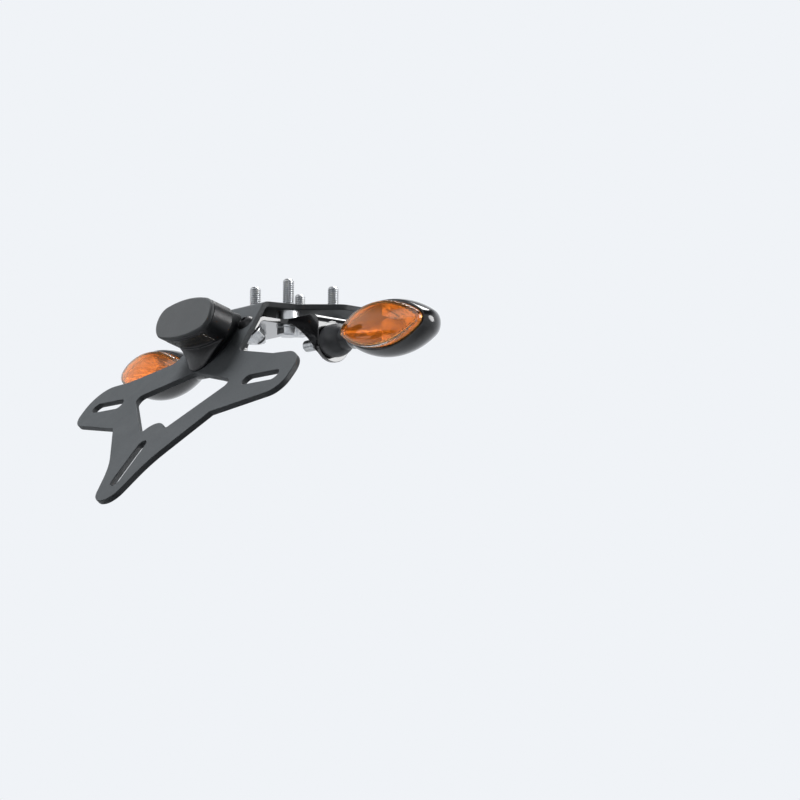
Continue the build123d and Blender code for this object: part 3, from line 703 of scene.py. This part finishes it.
def light_screws(zinc):
    """Pan-head screws with a cross recess, their tips kept below the neck's skin."""
    shape = edged_shape("light_screws")
    across = Vector((1, 0, 0))
    along = SCREW_OUTWARD.cross(across)
    tip_points = points_of(parts_of(screw_tips(shape)))
    bmesh.ops.translate(shape, verts=tip_points, vec=(SCREW_TRIM + SCREW_GAP) * SCREW_OUTWARD)
    heads = [
        face
        for face in shape.faces
        if face.normal.dot(SCREW_OUTWARD) > HEAD_FACING and len(face.verts) > HEAD_LEAST_CORNERS
    ]
    for head in heads:
        centre = head.calc_center_bounds()
        flat = parts_of([head])
        for line in (across, along):
            for offset in (-RECESS_REACH, -RECESS_HALF_WIDTH, RECESS_HALF_WIDTH, RECESS_REACH):
                flat = bmesh.ops.bisect_plane(
                    shape, geom=flat, plane_co=centre + offset * line, plane_no=line
                )["geom"]
        arms = []
        for face in flat:
            if isinstance(face, bmesh.types.BMFace):
                spot = face.calc_center_median() - centre
                near = sorted((abs(spot.dot(across)), abs(spot.dot(along))))
                if near[0] < RECESS_HALF_WIDTH and near[1] < RECESS_REACH:
                    arms.append(face)
        sunk = bmesh.ops.extrude_face_region(shape, geom=arms)["geom"]
        bmesh.ops.translate(shape, verts=points_of(sunk), vec=-RECESS_DEPTH * SCREW_OUTWARD)
    add_piece("light_screws_finished", shape, [zinc], "light_screws")


def slice_bright(shape, inside, place, direction):
    """Cuts the bright faces that pass the test at a plane."""
    shape.normal_update()
    faces = [f for f in shape.faces if f.normal.y < FACING_LENS and inside(f.calc_center_median())]
    bmesh.ops.bisect_plane(shape, geom=parts_of(faces), plane_co=place, plane_no=direction)


def flute(shape, inside, fade, place, direction, pitch, count):
    """Swells the bright faces that pass the test into rounded flutes across a direction."""
    for step in range(-FLUTE_SLICES * count, FLUTE_SLICES * count + 1):
        slice_bright(shape, inside, place + step * pitch / FLUTE_SLICES * direction, direction)
    shape.normal_update()
    bright = {v for f in shape.faces if f.normal.y < FACING_LENS for v in f.verts if inside(v.co)}
    for vert in bright:
        across = (vert.co - place).dot(direction)
        rise = FLUTE_HEIGHT * (1 - cos(2 * pi * across / pitch)) / 2
        vert.co += rise * fade(vert.co) * vert.normal


def parted_reflector(side, sign, bright, shaded_satin):
    """Reflector with a fluted bright half outboard, a duller inboard half whose darker colour is
    painted shade, and a vane between them.
    """
    node = f"{side}_reflector"
    shape = edged_shape(node, CURVED_FLAT_ANGLE)
    low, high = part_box(node)
    middle = (low + high) / 2
    rim_y = low.y + RIM_SETBACK
    foot_y = high.y - REFLECTOR_WALL
    rim_half = (high.z - low.z) / 2 - REFLECTOR_WALL
    across = Vector((1, 0, 0))
    upright = Vector((0, 0, 1))
    for direction in (across, upright):
        bmesh.ops.bisect_plane(shape, geom=whole(shape), plane_co=middle, plane_no=direction)

    def anywhere(place):
        return True

    def outboard(place):
        return sign * (place.x - middle.x) > 0

    def low_inboard(place):
        return sign * (place.x - middle.x) < 0 and place.z < middle.z

    def fade(place):
        from_rim = (place.y - low.y) / FLUTE_FADE - RIM_FADE_START
        from_foot = (foot_y - place.y) / FLUTE_FADE
        from_vane = abs(place.x - middle.x) / FLUTE_FADE
        return max(0, min(1, from_rim, from_foot, from_vane))

    ring_count = int((foot_y - low.y) / FLUTE_FADE)
    for ring in range(1, ring_count + 1):
        level = Vector((0, low.y + ring * FLUTE_FADE, 0))
        slice_bright(shape, anywhere, level, Vector((0, 1, 0)))
    level_count = int((high.z - low.z) / 2 / LEVEL_PITCH) + 1
    upright_count = int((high.x - low.x) / 2 / UPRIGHT_PITCH) + 1
    flute(shape, outboard, fade, middle, upright, LEVEL_PITCH, level_count)
    flute(shape, low_inboard, fade, middle, across, UPRIGHT_PITCH, upright_count)
    # Inboard faces take the second material, whose darker colour is painted shade.
    for face in shape.faces:
        if sign * (face.calc_center_median().x - middle.x) < 0:
            face.material_index = 1

    for end in (-1, 1):
        profile = (
            (rim_y, middle.z + end * VANE_GAP),
            (rim_y, middle.z + end * (rim_half + VANE_SINK)),
            (foot_y + VANE_SINK, middle.z + end * VANE_GAP),
        )
        vane = bmesh.new()
        flank_x = middle.x - VANE_THICKNESS / 2
        flank = vane.faces.new([vane.verts.new((flank_x, y, z)) for y, z in profile])
        far_flank = bmesh.ops.extrude_face_region(vane, geom=[flank])["geom"]
        bmesh.ops.translate(vane, verts=points_of(far_flank), vec=(VANE_THICKNESS, 0, 0))
        join(shape, vane, Matrix.Identity(4))
    add_piece(f"{node}_finished", shape, [bright, shaded_satin], node, curved=True)


def light_leds(package, gel):
    """Emitters with a square package and a sunk yellow window below."""
    shape = edged_shape("light_leds")
    below = Vector((0, -sin(HEAD_TILT), -cos(HEAD_TILT)))
    windows = [face for face in shape.faces if face.normal.dot(below) > GEL_FACING]
    bmesh.ops.inset_individual(shape, faces=windows, thickness=GEL_MARGIN, depth=-GEL_SINK)
    for face in windows:
        face.material_index = 1
    add_piece("light_leds_finished", shape, [package, gel], "light_leds")


def make_pieces():
    """Every node's finished piece."""
    gloss = bar_gloss()
    zinc = zinc_plating()
    oxide = black_oxide()
    rubber = stalk_rubber()
    pod = pod_gloss()
    amber = amber_plastic()
    bright = bright_film()
    # The inboard film's darker colour is painted shade.
    shaded_satin = shaded_satin_film()
    glass = bulb_glass()
    socket = socket_plastic()
    finish_node("plate_hanger", plate_coat(), SHEET_EDGE)
    finish_node("indicator_crossbar", gloss, BAR_EDGE)
    finish_node("crossbar_bolts", oxide, BOLT_EDGE)
    finish_node("crossbar_washers", zinc, WASHER_EDGE)
    finish_node("crossbar_nuts", zinc, NUT_EDGE)
    finish_node("crossbar_spacers", turned_alloy(), BOLT_EDGE)
    finish_node("tail_washers", zinc, WASHER_EDGE)
    tail_bolts(zinc)
    light_housing(light_shell_grain())
    finish_node("light_end_cap", cap_grain(), CAP_EDGE)
    finish_node("light_lens", light_window(), BOLT_EDGE)
    finish_node("light_board", board_mask(), FINE_EDGE)
    light_leds(led_body(), led_phosphor())
    light_screws(zinc)
    finish_node("wiring_cover", cover_grain(), BOLT_EDGE)
    finish_node("wiring_grommet", rubber, BOLT_EDGE)
    for side, sign in (("right", 1), ("left", -1)):
        finish_curved(f"{side}_body", pod, BOLT_EDGE)
        finish_curved(f"{side}_lens", amber, LENS_EDGE, LENS_EDGE_SEGMENTS)
        parted_reflector(side, sign, bright, shaded_satin)
        finish_curved(f"{side}_bulb", glass, FINE_EDGE)
        finish_node(f"{side}_bulb_holder", socket, BOLT_EDGE)
        finish_curved(f"{side}_stalk", rubber, SHELL_EDGE)
        indicator_stud(side, sign, zinc)
        finish_node(f"{side}_washer", oxide, WASHER_EDGE)
        finish_node(f"{side}_nut", oxide, NUT_EDGE)


def seen_or_mirrored(tree):
    """Value that is 1 for rays from the camera, a mirror or glass, and 0 for soft light."""
    path = tree.nodes.new("ShaderNodeLightPath")
    value = path.outputs["Is Camera Ray"]
    for name in ("Is Glossy Ray", "Is Transmission Ray"):
        either = tree.nodes.new("ShaderNodeMath")
        either.operation = "MAXIMUM"
        tree.links.new(value, either.inputs[0])
        tree.links.new(path.outputs[name], either.inputs[1])
        value = either.outputs["Value"]
    return value


def smooth_step(tree, value, start, end):
    """Value that rises smoothly from 0 at the start to 1 at the end."""
    step = tree.nodes.new("ShaderNodeMapRange")
    step.interpolation_type = "SMOOTHSTEP"
    step.inputs["From Min"].default_value = start
    step.inputs["From Max"].default_value = end
    tree.links.new(value, step.inputs["Value"])
    return step.outputs["Result"]


def shader_mix(tree, factor, first, second):
    """First shader where the factor is 0, second where it is 1."""
    mix = tree.nodes.new("ShaderNodeMixShader")
    tree.links.new(factor, mix.inputs["Fac"])
    tree.links.new(first, mix.inputs[1])
    tree.links.new(second, mix.inputs[2])
    return mix.outputs["Shader"]


def studio_world():
    """Soft even light; a pale backdrop where it is seen, under a dim ceiling where it is mirrored."""
    world = bpy.data.worlds.new("studio")
    world.use_nodes = True
    tree = world.node_tree
    soft = tree.nodes["Background"]
    soft.inputs["Color"].default_value = AMBIENT
    soft.inputs["Strength"].default_value = AMBIENT_STRENGTH
    direction = tree.nodes.new("ShaderNodeTexCoord")
    parts = tree.nodes.new("ShaderNodeSeparateXYZ")
    tree.links.new(direction.outputs["Generated"], parts.inputs["Vector"])
    path = tree.nodes.new("ShaderNodeLightPath")
    ceiling = tree.nodes.new("ShaderNodeMath")
    ceiling.operation = "MULTIPLY"
    tree.links.new(smooth_step(tree, parts.outputs["Z"], CEILING_FROM, CEILING_TO), ceiling.inputs[0])
    tree.links.new(path.outputs["Is Glossy Ray"], ceiling.inputs[1])
    room = tree.nodes.new("ShaderNodeMix")
    room.data_type = "RGBA"
    room.inputs[MIX_FIRST].default_value = BACKDROP
    room.inputs[MIX_SECOND].default_value = CEILING
    tree.links.new(ceiling.outputs["Value"], room.inputs["Factor"])
    backdrop = tree.nodes.new("ShaderNodeBackground")
    tree.links.new(room.outputs[MIX_RESULT], backdrop.inputs["Color"])
    seen = seen_or_mirrored(tree)
    surface = shader_mix(tree, seen, soft.outputs["Background"], backdrop.outputs["Background"])
    tree.links.new(surface, tree.nodes["World Output"].inputs["Surface"])
    bpy.context.scene.world = world


def floor_material():
    """Pale matt floor: shadowed near the part, plain further out, a dim bounce, clear from below."""
    material = bpy.data.materials.new("studio_floor")
    material.use_nodes = True
    tree = material.node_tree
    lit = tree.nodes["Principled BSDF"]
    lit.inputs["Base Color"].default_value = FLOOR_COLOUR
    lit.inputs["Roughness"].default_value = FLOOR_ROUGHNESS
    lit.inputs["Specular IOR Level"].default_value = 0.0
    dim = tree.nodes.new("ShaderNodeBsdfDiffuse")
    dim.inputs["Color"].default_value = FLOOR_BOUNCE
    pale = tree.nodes.new("ShaderNodeEmission")
    pale.inputs["Color"].default_value = BACKDROP
    clear = tree.nodes.new("ShaderNodeBsdfTransparent")
    coordinates = tree.nodes.new("ShaderNodeTexCoord")
    length = tree.nodes.new("ShaderNodeVectorMath")
    length.operation = "LENGTH"
    tree.links.new(coordinates.outputs["Object"], length.inputs[0])
    far = smooth_step(tree, length.outputs["Value"], FLOOR_CLEAR_FROM, FLOOR_CLEAR_TO)
    seen_floor = shader_mix(tree, far, lit.outputs["BSDF"], pale.outputs["Emission"])
    above = shader_mix(tree, seen_or_mirrored(tree), dim.outputs["BSDF"], seen_floor)
    sides = tree.nodes.new("ShaderNodeNewGeometry")
    one_sided = shader_mix(tree, sides.outputs["Backfacing"], above, clear.outputs["BSDF"])
    tree.links.new(one_sided, tree.nodes["Material Output"].inputs["Surface"])
    return material


def studio_floor():
    """Wide level floor below the part."""
    shape = bmesh.new()
    bmesh.ops.create_grid(shape, x_segments=1, y_segments=1, size=FLOOR_HALF)
    bmesh.ops.translate(shape, verts=shape.verts, vec=(0, 0, FLOOR_Z))
    mesh = bpy.data.meshes.new("studio_floor")
    shape.to_mesh(mesh)
    shape.free()
    mesh.materials.append(floor_material())
    floor = bpy.data.objects.new("studio_floor", mesh)
    bpy.context.scene.collection.objects.link(floor)


def soft_lamp(name, place, size, power, lights):
    """Round soft light aimed at the middle of the part, itself out of the camera's sight."""
    lamp = bpy.data.lights.new(name, "AREA")
    lamp.shape = "DISK"
    lamp.size = size
    lamp.energy = power
    holder = bpy.data.objects.new(name, lamp)
    holder.location = place
    holder.rotation_euler = (AIM - Vector(place)).to_track_quat("-Z", "Y").to_euler()
    holder.visible_camera = False
    holder.visible_diffuse = lights in ("all", "matt")
    holder.visible_glossy = lights in ("all", "mirrors")
    holder.visible_transmission = lights in ("all", "lenses")
    bpy.context.scene.collection.objects.link(holder)


def photo_camera():
    """Camera at the photograph's place, level and angle."""
    camera = bpy.data.cameras.new("photo_camera")
    camera.lens = LENS_MM
    camera.sensor_width = SENSOR_MM
    camera.sensor_fit = "HORIZONTAL"
    camera.clip_start = CLIP_START
    camera.clip_end = CLIP_END
    holder = bpy.data.objects.new("photo_camera", camera)
    back = -CAMERA_FORWARD.normalized()
    across = (CAMERA_RIGHT - CAMERA_RIGHT.dot(back) * back).normalized()
    above = back.cross(across)
    turn = Matrix((across, above, back)).transposed()
    holder.matrix_world = Matrix.Translation(CAMERA_PLACE) @ turn.to_4x4()
    bpy.context.scene.collection.objects.link(holder)
    bpy.context.scene.camera = holder


photo_camera()
make_pieces()
studio_world()
studio_floor()
for lamp_name, settings in LAMPS.items():
    soft_lamp(lamp_name, *settings)
bpy.context.scene.view_settings.view_transform = "Standard"
